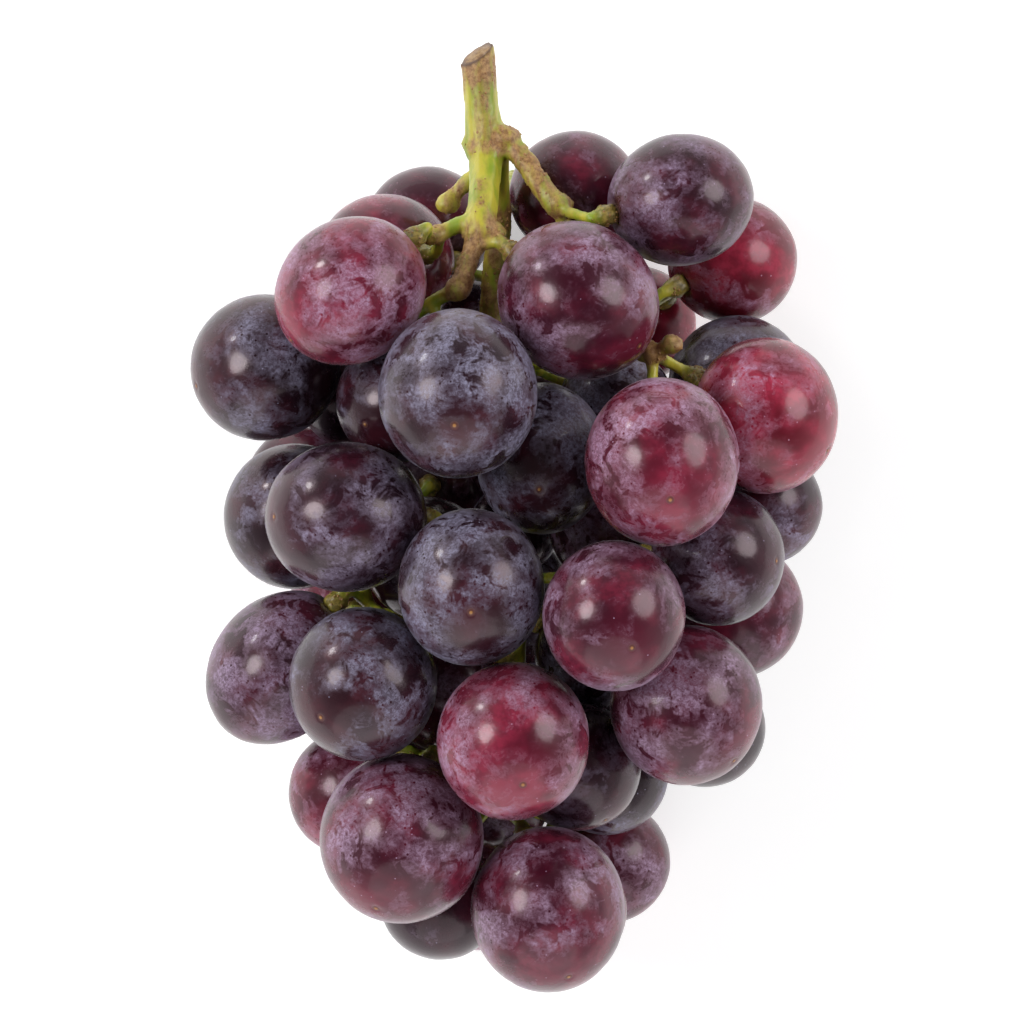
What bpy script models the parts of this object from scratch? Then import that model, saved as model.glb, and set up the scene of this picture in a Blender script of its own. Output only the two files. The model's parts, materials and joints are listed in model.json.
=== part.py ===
"""A bunch of dark table grapes, picked and laid down on its back.

Every grape is a solid of its own. The stalk is one piece: the cut peduncle, the rachis that runs
down the middle of the bunch, its side branches, and for each grape a short pedicel that ends in a
swollen collar. X runs across the bunch, Y from its tip to its cut stalk, Z up from the ground.

Lengths are in millimetres until a mesh is made. MM turns them into metres.
"""
import math
import random

import bpy
import bmesh
import numpy as np
from mathutils import Matrix, Vector

MM = 0.001
GAP = 0.35                     # clear space between two neighbours
FLAT_DEPTH = 0.5               # how much of a grape on the ground is pressed flat
GROUND_CLEARANCE = 1.0         # under a grape that doesn't rest on the ground
DIMPLE = 0.06                  # depth of the dent at a grape's stalk end, as a share of its radius
GRAPE_SEGMENTS = 14
GRAPE_RINGS = 8

PEDICEL_RADIUS = 0.95
COLLAR_RADIUS = 1.75
COLLAR_PROFILE = ((0.0, 0.80), (0.9, 1.0), (2.0, 0.72))   # distance from the grape, share of the radius
COLLAR_LENGTH = 3.4
PATH_POINTS = 9
STALK_CUT = (-5.9, 73.5, 47.0)   # a place on the slanted knife cut, and the way that the cut faces
STALK_CUT_NORMAL = (-0.51, 0.79, 0.33)

BACK_SEED = 11
BACK_SIZES = (21.5, 23.5)      # smallest and largest grape of the back layer
BACK_JITTER = 1.5
BACK_STRETCH = 1.0            # height over width of a back grape, seen from above
# One line for each row of grapes on the ground: Y, then their X places
BACK_ROWS = (
    (26.0, (-27.0, -4.0)),
    (4.0, (-13.0, 9.0, 32.0)),
    (-17.0, (-27.0, 0.5, 24.5)),
    (-39.0, (-19.0, 3.0)),
    (-55.5, (-6.0,)),
)
# Grapes round the rachis and in the tip, away from the ground: X, Y, Z and size
CORE_GRAPES = (
    (-15.0, -7.0, 36.0, 20.0), (15.0, -4.0, 37.0, 20.0), (-11.0, -29.0, 38.0, 20.0),
    (12.0, -24.0, 38.0, 20.0), (8.0, -62.0, 29.0, 20.0), (12.0, 48.0, 12.0, 20.0),
    (3.5, 19.5, 28.0, 15.5), (-1.5, -48.5, 27.0, 14.5), (0.0, -2.5, 26.0, 14.5),
)
CORE_MIDDLE_Y = -6.0           # a core grape points away from this place on the rachis

TONES = {
    "skin_red": (0.30, 0.045, 0.075),
    "skin_purple": (0.115, 0.035, 0.065),
    "skin_dark": (0.035, 0.022, 0.045),
}
STALK_COLOUR = (0.36, 0.33, 0.07)
SKIN_ROUGHNESS = 0.28
BARK_ROUGHNESS = 0.6
SHARP_ANGLE = math.radians(50)

# Each line is one grape of the front and the sides: the X, Y and Z of its middle, its width and
# height seen from above and the turn of that width in degrees, the way its blossom end points, tone
RED, PURPLE, DARK = "skin_red", "skin_purple", "skin_dark"
FRONT_GRAPES = (
    (-26.1, 35.4, 60.0, 25.3, 22.7, 40, (-0.75, -0.62, 0.20), RED),
    (-39.5, 23.3, 43.0, 24.0, 23.4, 15, (-0.92, -0.25, 0.30), DARK),
    (-20.6, 40.4, 37.0, 22.1, 21.4, 0, (-0.55, -0.10, -0.80), PURPLE),
    (-13.8, 45.7, 17.5, 20.5, 20.0, 0, (-0.40, 0.50, -0.75), PURPLE),
    (-8.8, 18.9, 68.0, 25.3, 27.0, 0, (-0.04, -0.38, 0.92), DARK),
    (10.3, 33.8, 60.0, 26.6, 24.6, -40, (0.74, -0.55, 0.39), PURPLE),
    (9.8, 51.0, 36.0, 21.1, 20.5, 0, (0.10, 0.55, -0.83), PURPLE),
    (26.6, 50.0, 52.0, 23.4, 21.1, 10, (0.93, 0.20, -0.30), PURPLE),
    (34.1, 39.0, 23.0, 20.8, 20.5, 0, (0.75, 0.35, -0.45), RED),
    (21.0, 31.0, 10.0, 18.6, 18.6, 0, (-0.42, -0.40, -0.81), RED),
    (33.0, 20.6, 34.0, 22.4, 22.4, 0, (0.60, 0.30, -0.70), DARK),
    (39.8, 14.8, 55.0, 23.4, 25.0, 0, (0.85, -0.45, 0.25), RED),
    (23.4, 7.6, 72.0, 24.6, 26.9, 0, (0.10, -0.45, 0.88), RED),
    (4.6, 9.0, 51.0, 21.1, 24.3, 0, (-0.04, -0.40, 0.90), DARK),
    (-18.9, 18.0, 47.0, 19.2, 19.8, 0, (-0.40, -0.30, 0.60), DARK),
    (-25.4, 20.4, 29.0, 19.8, 19.8, 0, (-0.60, -0.10, -0.70), PURPLE),
    (18.9, 17.2, 40.0, 18.6, 18.6, 0, (0.50, -0.20, 0.60), DARK),
    (-26.6, -0.7, 60.0, 25.9, 24.0, 0, (-0.87, 0.00, 0.45), DARK),
    (-34.9, -0.6, 37.5, 23.0, 23.4, 0, (-0.90, -0.10, -0.30), DARK),
    (-33.8, 4.7, 17.5, 18.6, 18.6, 0, (-0.70, 0.10, -0.60), RED),
    (-6.9, -11.9, 66.0, 23.4, 25.1, 0, (0.00, -0.32, 0.95), DARK),
    (16.2, -16.1, 65.0, 22.7, 24.0, 0, (0.25, -0.43, 0.87), PURPLE),
    (32.5, -7.3, 53.0, 21.4, 22.1, 0, (0.88, -0.06, 0.47), DARK),
    (39.8, 1.7, 36.0, 18.6, 18.6, 0, (0.90, -0.10, -0.40), PURPLE),
    (35.2, -15.6, 33.0, 22.1, 22.1, 0, (0.80, -0.30, -0.40), PURPLE),
    (26.9, -29.4, 49.0, 24.3, 25.6, 0, (0.63, -0.70, 0.34), PURPLE),
    (29.4, -34.3, 27.5, 19.2, 19.2, 0, (0.60, -0.60, -0.50), PURPLE),
    (-37.4, -24.6, 41.0, 26.6, 21.8, 50, (-0.64, -0.74, -0.20), PURPLE),
    (-24.0, -27.3, 60.0, 23.7, 24.6, 0, (-0.56, -0.43, 0.70), DARK),
    (-0.2, -36.2, 64.0, 24.3, 25.3, 0, (0.13, -0.55, 0.82), RED),
    (-25.9, -44.7, 33.0, 20.2, 20.2, 0, (-0.70, -0.50, -0.50), RED),
    (-17.6, -51.8, 54.0, 26.2, 27.2, 0, (-0.31, -0.82, 0.48), RED),
    (10.6, -40.9, 44.5, 20.5, 20.5, 0, (0.40, -0.75, 0.30), DARK),
    (14.9, -41.7, 25.0, 19.8, 19.8, 0, (0.40, -0.70, -0.50), DARK),
    (5.3, -62.2, 47.0, 24.6, 26.6, 0, (0.27, -0.81, 0.52), PURPLE),
    (16.0, -55.0, 14.0, 19.8, 19.8, 0, (0.40, -0.60, -0.60), RED),
    (-11.7, -61.8, 32.0, 19.5, 19.5, 0, (-0.30, -0.75, -0.50), PURPLE),
)

# Each branch is a list of X, Y, Z and radius
RACHIS = (
    (-6.4, 78.5, 47.0, 2.9), (-5.6, 70.5, 47.0, 2.75), (-5.2, 65.5, 46.6, 2.7),
    (-4.9, 62.3, 46.2, 3.0), (-4.2, 59.4, 45.5, 3.7), (-3.9, 56.0, 44.2, 3.1),
    (-3.0, 51.5, 42.0, 2.3), (-2.4, 46.5, 40.0, 2.0), (-2.8, 40.0, 38.8, 1.95),
    (-3.6, 32.0, 38.0, 1.9), (-3.4, 22.0, 37.0, 1.8), (-2.6, 10.0, 36.0, 1.7),
    (-0.6, -4.0, 36.5, 1.6), (0.6, -18.0, 37.0, 1.5), (0.2, -32.0, 36.5, 1.35),
    (-3.0, -46.0, 36.5, 1.2),
)
FRONT_BRANCH = (
    (-4.2, 59.4, 45.5, 2.9), (-4.5, 56.0, 47.4, 2.75), (-4.7, 52.5, 49.6, 2.5),
    (-4.9, 49.4, 51.8, 2.5), (-5.5, 46.2, 53.5, 2.6), (-6.4, 42.6, 54.8, 1.65),
    (-7.6, 39.0, 56.0, 1.5), (-8.9, 35.8, 57.0, 1.75),
)
LEFT_BRANCH = (
    (-5.5, 46.2, 53.5, 1.6), (-8.2, 46.3, 53.4, 1.35), (-11.6, 44.8, 53.2, 1.3),
    (-14.2, 43.9, 53.6, 1.3),
)
RIGHT_BRANCH = (
    (-4.2, 59.4, 45.5, 2.4), (-1.2, 59.4, 46.4, 2.3), (1.1, 57.0, 47.8, 1.75),
    (3.6, 53.4, 49.4, 1.7), (5.9, 50.3, 50.3, 1.85), (7.0, 48.6, 50.2, 1.9),
)
CROSS_BRANCH = (
    (-3.4, 22.0, 37.0, 1.6), (1.0, 24.0, 39.0, 1.35), (7.5, 24.5, 43.5, 1.3),
    (14.0, 25.0, 47.5, 1.3), (19.0, 26.6, 52.5, 1.35), (22.2, 25.4, 57.0, 1.9),
)
SIDE_BRANCH = (
    (-8.9, 35.8, 57.0, 1.3), (-10.8, 34.9, 56.4, 1.15), (-13.4, 33.5, 55.2, 1.1),
    (-15.6, 31.9, 53.6, 1.1),
)
BACK_SPUR = (
    (-4.0, 54.8, 43.4, 1.7), (-7.2, 53.2, 43.6, 1.35), (-9.2, 51.2, 43.4, 1.2),
    (-10.4, 49.7, 43.0, 1.75), (-10.9, 49.0, 42.8, 1.5),
)
BARE_SPUR = (
    (22.2, 25.4, 57.0, 1.2), (23.6, 26.2, 58.2, 1.1), (24.9, 26.8, 59.0, 1.7),
    (25.9, 27.2, 59.5, 1.5),
)
BRANCHES = {
    "rachis": RACHIS,
    "front_branch": FRONT_BRANCH,
    "left_branch": LEFT_BRANCH,
    "right_branch": RIGHT_BRANCH,
    "cross_branch": CROSS_BRANCH,
    "side_branch": SIDE_BRANCH,
    "back_spur": BACK_SPUR,
    "bare_spur": BARE_SPUR,
}
BARE_BRANCHES = ("back_spur", "bare_spur")   # these end in a collar that has lost its grape

SETTLE_STEPS = 900
HOMING_STEPS = 630             # steps that also draw each grape back to its listed place
HOMING = (0.04, 0.04, 0.03)    # share of the way back taken in one step, along X, Y and Z
SETTLE_RATE = 0.45             # share of a push between two grapes taken in one step
BRANCH_RATE = 0.6              # share of a push off a branch taken in one step
COLLAR_STANDOFF = 0.6          # clear space kept beyond a collar's middle
# How freely each kind of grape moves along X, Y and Z
GIVE = {"front": (0.05, 0.05, 1.0), "ground": (0.8, 0.8, 0.0), "core": (1.0, 1.0, 1.0)}

ROUTE_STEPS = 90
ROUTE_CANDIDATES = 40
ROUTE_MARGIN = 0.15            # clear space sought beyond the gap
ROUTE_SLACK = 0.1              # how much of the gap a finished pedicel may use up
ROUTE_SMOOTHING = 0.35
LOWEST_PEDICEL = 3.0           # above the ground
BLOCKED_COST = 60.0            # weighs the space that is lacking against a pedicel's length
SHARED_COST = 2.0              # extra length that a start on another pedicel counts for
BRANCH_STEP = 2.2              # spacing of the places on a branch where a pedicel may start
BARE_ABOVE_Y = 50.0            # no pedicel starts on the rachis above this place
STRAIGHT_TURN = math.radians(9)
LONGEST_STRETCH = 7.0

TINY = 1e-6
MERGE_DISTANCE = 1e-6          # in metres
CUT_TOLERANCE = 1e-7           # in metres


def unit(vector):
    """The vector at length 1."""
    vector = np.asarray(vector, float)
    return vector / np.linalg.norm(vector)


class Grape:
    """One grape: an ellipsoid given by its middle and by the matrix that a unit sphere takes."""

    def __init__(self, middle, width, height, turn, tip, tone, kind):
        angle = math.radians(turn)
        turned = np.array(Matrix.Rotation(angle, 3, "Z"))
        depth = math.sqrt(width * height)
        self.shape = turned @ np.diag([width, height, depth]) @ turned.T / 2
        self.middle = np.array(middle, float)
        self.target = self.middle.copy()
        self.tip = unit(tip)
        self.tone = tone
        self.kind = kind

    def reach(self, way):
        """How far the grape reaches from its middle along a unit vector."""
        return float(np.linalg.norm(self.shape @ way))

    def stalk_end(self):
        return self.middle - self.shape @ self.tip

    def stalk_way(self):
        """The unit vector that points out of the grape at its stalk end."""
        return -unit(np.linalg.solve(self.shape @ self.shape, self.shape @ self.tip))


def list_grapes():
    """The front grapes by hand, then the ground rows and the core by rule."""
    grapes = []
    for x, y, z, width, height, turn, tip, tone in FRONT_GRAPES:
        grapes.append(Grape((x, y, z), width, height, turn, tip, tone, "front"))
    dice = random.Random(BACK_SEED)
    tones = (PURPLE, DARK, RED, DARK, PURPLE)
    for y, places in BACK_ROWS:
        for x in places:
            size = dice.uniform(*BACK_SIZES)
            middle = (
                x + dice.uniform(-BACK_JITTER, BACK_JITTER),
                y + dice.uniform(-BACK_JITTER, BACK_JITTER),
                size / 2 - FLAT_DEPTH,
            )
            tone = tones[len(grapes) % len(tones)]
            grapes.append(Grape(middle, size, size * BACK_STRETCH, 0, (0, 0, -1), tone, "ground"))
    for x, y, z, size in CORE_GRAPES:
        outward = (x, CORE_MIDDLE_Y, 0.0)
        tone = tones[len(grapes) % len(tones)]
        grapes.append(Grape((x, y, z), size, size, 0, outward, tone, "core"))
    return grapes


def branch_segments(branches):
    """Every straight stretch of the branches: its start, its vector, and the radius at both ends."""
    pairs = [pair for points in branches for pair in zip(points, points[1:])]
    first = np.array([pair[0] for pair in pairs], float)
    last = np.array([pair[1] for pair in pairs], float)
    return first[:, :3], last[:, :3] - first[:, :3], first[:, 3], last[:, 3]


def clear_branches(middles, shapes, weights, segments):
    """Moves each grape off the branch stretch that it comes closest to."""
    starts, vectors, first_radius, last_radius = segments
    offset = middles[:, None, :] - starts
    share = np.einsum("nsi,si->ns", offset, vectors) / np.einsum("si,si->s", vectors, vectors)
    share = np.clip(share, 0.0, 1.0)
    away = offset - share[..., None] * vectors
    distance = np.linalg.norm(away, axis=2)
    radius = first_radius + (last_radius - first_radius) * share
    closest = np.argmin(distance - radius, axis=1)
    rows = np.arange(len(middles))
    away, distance, radius = away[rows, closest], distance[rows, closest], radius[rows, closest]
    away = away / distance[:, None]
    reach = np.linalg.norm(np.einsum("nij,nj->ni", shapes, away), axis=1)
    missing = np.maximum(0.0, reach + radius + GAP - distance)
    pull = weights * away
    strength = np.maximum(np.einsum("ni,ni->n", pull, away), TINY)
    middles += BRANCH_RATE * (missing / strength)[:, None] * pull


def settle(grapes, branches):
    """Moves the grapes apart until none touches another, a branch or another's collar.

    A front grape gives way mostly up or down, so that its place seen from above stays as listed.
    """
    weights = np.array([GIVE[grape.kind] for grape in grapes])
    shapes = np.array([grape.shape for grape in grapes])
    targets = np.array([grape.target for grape in grapes])
    tips = np.array([grape.tip for grape in grapes])
    collars = -np.einsum("nij,nj->ni", shapes, tips) - tips * (COLLAR_RADIUS + COLLAR_STANDOFF)
    middles = targets.copy()
    lowest = np.linalg.norm(shapes[:, 2, :], axis=1)
    count = len(grapes)
    first, second = np.triu_indices(count, 1)
    owner, other = np.nonzero(~np.eye(count, dtype=bool))
    segments = branch_segments(branches)
    for step in range(SETTLE_STEPS):
        moves = np.zeros_like(middles)
        push_apart(moves, middles, first, second, shapes, weights, None)
        push_apart(moves, middles, owner, other, shapes, weights, collars)
        middles = middles + SETTLE_RATE * moves
        clear_branches(middles, shapes, weights, segments)
        if step < HOMING_STEPS:
            middles += (targets - middles) * np.array(HOMING)
        floor = np.where(weights[:, 2] == 0, middles[:, 2], lowest + GROUND_CLEARANCE)
        middles[:, 2] = np.maximum(middles[:, 2], floor)
    for grape, middle in zip(grapes, middles):
        grape.middle = middle
        if grape.kind == "ground":
            grape.middle[2] = grape.reach(np.array([0.0, 0.0, 1.0])) - FLAT_DEPTH


def push_apart(moves, middles, ones, others, shapes, weights, collars):
    """Adds to moves what parts each pair: two grapes, or one grape's collar and another grape."""
    starts = middles[ones] if collars is None else middles[ones] + collars[ones]
    away = starts - middles[others]
    distance = np.linalg.norm(away, axis=1)
    away = away / distance[:, None]
    reach = np.linalg.norm(np.einsum("nij,nj->ni", shapes[others], away), axis=1)
    if collars is None:
        reach = reach + np.linalg.norm(np.einsum("nij,nj->ni", shapes[ones], away), axis=1)
    else:
        reach = reach + COLLAR_RADIUS
    missing = np.maximum(0.0, reach + GAP - distance)
    pull = weights[ones] * away
    push = weights[others] * away
    total = np.einsum("ni,ni->n", pull, away) + np.einsum("ni,ni->n", push, away)
    share = np.divide(missing, total, out=np.zeros_like(missing), where=total > TINY)
    np.add.at(moves, ones, pull * share[:, None])
    np.add.at(moves, others, -push * share[:, None])


def clearances(points, middles, shapes_inverse):
    """How far each point lies outside each grape, and the unit vectors away from their middles."""
    away = points[..., None, :] - middles
    distance = np.linalg.norm(away, axis=-1)
    scaled = np.linalg.norm(np.einsum("nij,...nj->...ni", shapes_inverse, away), axis=-1)
    return distance * (1 - 1 / scaled), away / distance[..., None]


def route_pedicels(grapes, branches):
    """A path from each grape's stalk end to a branch, or to an earlier pedicel, clear of all grapes."""
    middles = np.array([grape.middle for grape in grapes])
    inverse = np.array([np.linalg.inv(grape.shape) for grape in grapes])
    roots = []
    for name, points in branches.items():
        if name not in BARE_BRANCHES:
            roots += [np.append(place, 0.0) for place in places_along(points, name == "rachis")]
    need = PEDICEL_RADIUS + GAP + ROUTE_MARGIN
    order = sorted(range(len(grapes)), key=lambda n: -nearest_root(grapes[n].stalk_end(), roots))
    paths = {}
    for index in order:
        grape = grapes[index]
        way = grape.stalk_way()
        start = grape.stalk_end() + way * GAP
        bend = start + way * COLLAR_LENGTH
        options = sorted(roots, key=lambda root: np.linalg.norm(root[:3] - bend) + root[3])
        options = np.array(options[:ROUTE_CANDIDATES])
        shares = np.linspace(0, 1, PATH_POINTS)[None, :, None]
        lines = bend + (options[:, None, :3] - bend) * shares
        for _ in range(ROUTE_STEPS):
            inner = lines[:, 1:-1]
            inner = inner + ROUTE_SMOOTHING * ((lines[:, :-2] + lines[:, 2:]) / 2 - inner)
            depth, away = clearances(inner, middles, inverse)
            lack = np.maximum(0.0, need - depth)
            inner = inner + np.einsum("kpn,kpni->kpi", lack, away)
            inner[..., 2] = np.maximum(inner[..., 2], LOWEST_PEDICEL)
            lines[:, 1:-1] = inner
        half = (lines[:, 1:] + lines[:, :-1]) / 2
        lack = np.zeros(len(options))
        for places in (half, lines[:, 1:-1]):
            depth, _ = clearances(places, middles, inverse)
            short = np.maximum(0.0, PEDICEL_RADIUS + GAP - ROUTE_SLACK - depth)
            lack += short.sum(axis=(1, 2))
        length = np.linalg.norm(np.diff(lines, axis=1), axis=2).sum(axis=1)
        best = int(np.argmin(length + options[:, 3] + BLOCKED_COST * lack))
        paths[index] = (np.vstack([start[None], lines[best]]), float(lack[best]))
        roots += [np.append(point, SHARED_COST) for point in lines[best][3:-2]]
    return paths


def places_along(points, skip_top):
    """Places every BRANCH_STEP along a branch where a pedicel may start."""
    found = []
    for first, last in zip(points, points[1:]):
        start, end = np.array(first[:3]), np.array(last[:3])
        if skip_top and start[1] > BARE_ABOVE_Y:
            continue
        count = max(1, int(np.linalg.norm(end - start) / BRANCH_STEP))
        found += [start + (end - start) * n / count for n in range(count)]
    found.append(np.array(points[-1][:3]))
    return found


def nearest_root(point, roots):
    return min(np.linalg.norm(root[:3] - point) for root in roots)


def clear_scene():
    for obj in list(bpy.data.objects):
        bpy.data.objects.remove(obj, do_unlink=True)


def new_collection(name):
    made = bpy.data.collections.new(name)
    bpy.context.scene.collection.children.link(made)
    return made


def plain_material(name, colour, roughness):
    material = bpy.data.materials.new(name)
    material.use_nodes = True
    shader = material.node_tree.nodes["Principled BSDF"]
    shader.inputs["Base Color"].default_value = (*colour, 1.0)
    shader.inputs["Roughness"].default_value = roughness
    shader.inputs["Metallic"].default_value = 0.0
    material.diffuse_color = (*colour, 1.0)
    return material


def grape_object(name, grape, material, parent, collection):
    """A grape with its pole at its blossom end, dented where the pedicel meets it."""
    turn = Vector((0, 0, 1)).rotation_difference(Vector(grape.tip)).to_matrix()
    shape = np.array(turn).T @ grape.shape @ np.array(turn)
    cage = bmesh.new()
    bmesh.ops.create_uvsphere(cage, u_segments=GRAPE_SEGMENTS, v_segments=GRAPE_RINGS, radius=1.0)
    stalk_pole = min(cage.verts, key=lambda vert: vert.co.z)
    stalk_pole.co.z *= 1 - DIMPLE
    bmesh.ops.transform(cage, matrix=(Matrix(shape.tolist()) * MM).to_4x4(), verts=cage.verts)
    if grape.kind == "ground":
        press_flat(cage, grape, turn)
    mesh = bpy.data.meshes.new(name)
    cage.to_mesh(mesh)
    cage.free()
    mesh.materials.append(material)
    mesh.shade_smooth()
    mesh.set_sharp_from_angle(angle=SHARP_ANGLE)
    obj = bpy.data.objects.new(name, mesh)
    obj.parent = parent
    obj.location = Vector(grape.middle) * MM
    obj.rotation_euler = turn.to_euler()
    collection.objects.link(obj)
    return obj


def press_flat(cage, grape, turn):
    """Cuts the grape off level with the ground."""
    ground = turn.inverted() @ Vector((0, 0, -grape.middle[2] * MM))
    cut_off(cage, ground, turn.inverted() @ Vector((0, 0, -1)))


def cut_off(cage, place, way):
    """Takes away what lies beyond a plane and closes the cut with one flat face."""
    geometry = cage.verts[:] + cage.edges[:] + cage.faces[:]
    cut = bmesh.ops.bisect_plane(
        cage, geom=geometry, dist=CUT_TOLERANCE, plane_co=place, plane_no=way, clear_outer=True,
    )
    rim = [item for item in cut["geom_cut"] if isinstance(item, bmesh.types.BMEdge)]
    bmesh.ops.edgeloop_fill(cage, edges=rim)
    bmesh.ops.recalc_face_normals(cage, faces=cage.faces)


def tube(name, points, collection):
    """A round tube through the points, each with its own radius, as a closed mesh object."""
    curve = bpy.data.curves.new(name, "CURVE")
    curve.dimensions = "3D"
    curve.bevel_depth = MM
    curve.bevel_resolution = 2 if name == "rachis" else 1
    curve.use_fill_caps = True
    spline = curve.splines.new("POLY")
    spline.points.add(len(points) - 1)
    for target, (x, y, z, radius) in zip(spline.points, points):
        target.co = (x * MM, y * MM, z * MM, 1.0)
        target.radius = radius
    guide = bpy.data.objects.new(name + "_line", curve)
    collection.objects.link(guide)
    graph = bpy.context.evaluated_depsgraph_get()
    mesh = bpy.data.meshes.new_from_object(guide.evaluated_get(graph))
    cage = bmesh.new()
    cage.from_mesh(mesh)
    bmesh.ops.remove_doubles(cage, verts=cage.verts, dist=MERGE_DISTANCE)
    bmesh.ops.recalc_face_normals(cage, faces=cage.faces)
    cage.to_mesh(mesh)
    cage.free()
    obj = bpy.data.objects.new(name, mesh)
    obj.matrix_world = guide.matrix_world
    bpy.data.objects.remove(guide, do_unlink=True)
    collection.objects.link(obj)
    return obj


def collar_points(path):
    """The pedicel's points with their radii: a swollen collar at the grape, then the plain stalk."""
    start = path[0]
    way = unit(path[1] - path[0])
    points = [(*(start + way * far), COLLAR_RADIUS * share) for far, share in COLLAR_PROFILE]
    points += [(*point, PEDICEL_RADIUS) for point in path[1:]]
    return points


def straightened(points):
    """The same path without the points where it hardly bends."""
    kept = list(points[:4])
    for point, after in zip(points[4:], points[5:]):
        before = np.array(kept[-1][:3])
        there = np.array(point[:3])
        bend = unit(there - before) @ unit(np.array(after[:3]) - there)
        if bend < math.cos(STRAIGHT_TURN) or np.linalg.norm(there - before) > LONGEST_STRETCH:
            kept.append(point)
    kept.append(points[-1])
    return kept


def stalk_object(paths, parent, collection, material):
    """The peduncle, the rachis, its branches and all pedicels joined in one solid."""
    pieces = new_collection("stalk_pieces")
    body = tube("rachis", RACHIS, pieces)
    for name, points in BRANCHES.items():
        if name != "rachis":
            tube(name, points, pieces)
    for index, (path, _) in sorted(paths.items()):
        tube(f"pedicel_{index + 1:02d}", straightened(collar_points(path)), pieces)
    pieces.objects.unlink(body)
    collection.objects.link(body)
    join = body.modifiers.new("join", "BOOLEAN")
    join.operation = "UNION"
    join.operand_type = "COLLECTION"
    join.solver = "MANIFOLD"
    join.collection = pieces
    graph = bpy.context.evaluated_depsgraph_get()
    mesh = bpy.data.meshes.new_from_object(body.evaluated_get(graph))
    body.modifiers.remove(join)
    for obj in list(pieces.objects):
        bpy.data.objects.remove(obj, do_unlink=True)
    bpy.data.collections.remove(pieces)
    cage = bmesh.new()
    cage.from_mesh(mesh)
    cut_off(cage, Vector(STALK_CUT) * MM, Vector(STALK_CUT_NORMAL))
    cage.to_mesh(mesh)
    cage.free()
    mesh.materials.clear()
    mesh.materials.append(material)
    mesh.shade_smooth()
    mesh.set_sharp_from_angle(angle=SHARP_ANGLE)
    body.data = mesh
    body.name = "stalk"
    body.parent = parent
    return body


def middle_of(objects):
    """The X and Y of the middle of the objects' common box, in metres."""
    bpy.context.view_layer.update()
    corners = [obj.matrix_world @ vert.co for obj in objects for vert in obj.data.vertices]
    span_x = [corner.x for corner in corners]
    span_y = [corner.y for corner in corners]
    return (min(span_x) + max(span_x)) / 2, (min(span_y) + max(span_y)) / 2


def main():
    clear_scene()
    bunch = new_collection("grape_bunch")
    frame = bpy.data.objects.new("bunch_frame", None)
    bunch.objects.link(frame)
    grapes = list_grapes()
    settle(grapes, list(BRANCHES.values()))
    paths = route_pedicels(grapes, BRANCHES)
    skins = {name: plain_material(name, colour, SKIN_ROUGHNESS) for name, colour in TONES.items()}
    objects = []
    for index, grape in enumerate(grapes):
        name = f"grape_{index + 1:02d}"
        objects.append(grape_object(name, grape, skins[grape.tone], frame, bunch))
    bark = plain_material("stalk_bark", STALK_COLOUR, BARK_ROUGHNESS)
    objects.append(stalk_object(paths, frame, bunch, bark))
    across, along = middle_of(objects)
    frame.location = (-across, -along, 0.0)


main()
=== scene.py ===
"""The looks of a picked bunch of dark table grapes that lies on a pale table.

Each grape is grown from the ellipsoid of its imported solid: a fine skin with a dent at the stalk, a
dry scar where the flower sat, and a wax bloom that is rubbed away in patches. The stalk is the packed
stalk made fine, with corky streaks and warty collars. Lengths are in millimetres unless a name or a
comment says otherwise, and MM turns them into metres.

A pattern is soft noise, given by the distance between its features, its detail, its roughness and its
distortion. A step says how a value turns into a share: where the share starts to change, where it
stops, and the share at those two places, which are 0 and 1 where the step doesn't say.
"""

import json
import math

import bpy
import bmesh
import numpy as np
from mathutils import Matrix, Vector


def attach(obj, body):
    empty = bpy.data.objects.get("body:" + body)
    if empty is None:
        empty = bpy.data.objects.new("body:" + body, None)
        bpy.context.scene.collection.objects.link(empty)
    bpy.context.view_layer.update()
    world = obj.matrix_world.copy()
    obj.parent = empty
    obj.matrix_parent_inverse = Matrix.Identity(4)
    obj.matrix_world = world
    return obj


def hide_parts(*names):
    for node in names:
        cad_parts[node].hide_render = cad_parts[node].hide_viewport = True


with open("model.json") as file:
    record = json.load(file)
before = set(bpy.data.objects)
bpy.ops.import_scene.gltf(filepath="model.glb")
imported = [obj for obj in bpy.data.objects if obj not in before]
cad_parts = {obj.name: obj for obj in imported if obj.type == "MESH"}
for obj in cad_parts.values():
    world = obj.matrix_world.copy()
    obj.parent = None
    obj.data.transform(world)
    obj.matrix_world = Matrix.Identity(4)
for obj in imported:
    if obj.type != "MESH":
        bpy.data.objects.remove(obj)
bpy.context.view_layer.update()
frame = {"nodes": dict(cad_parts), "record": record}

MM = 0.001
PER_MM = 1000.0                # turns metres into millimetres
UP = Vector((0, 0, 1))
MERGE_DISTANCE = 1e-6          # in metres
NOISE_MEAN = 0.5

# The photograph's frame: its width on the table, and how far the camera stands from the grapes
FRAME_WIDTH = 163.84
FRAME_MIDDLE = (-0.29, 0.55)
CAMERA_HEIGHT = 5000.0
CAMERA_REACH = 10.0            # how far the camera sees, in metres
FOCUS_HEIGHT = 40.0
SENSOR_WIDTH = 36.0

GRAPE_SEGMENTS = 96
GRAPE_RINGS = 64
HIDDEN_SEGMENTS = 64
HIDDEN_RINGS = 44
RING_PACKING = 0.33            # crowds the rings towards both poles
FRONT_COUNT = 37               # the grapes that the photograph shows, all numbered first
POLE_EDGES = 12                # only a pole of a packed grape joins this many edges
GROUND_RIM = 0.05              # corners of a packed grape below this belong to its flat

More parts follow.
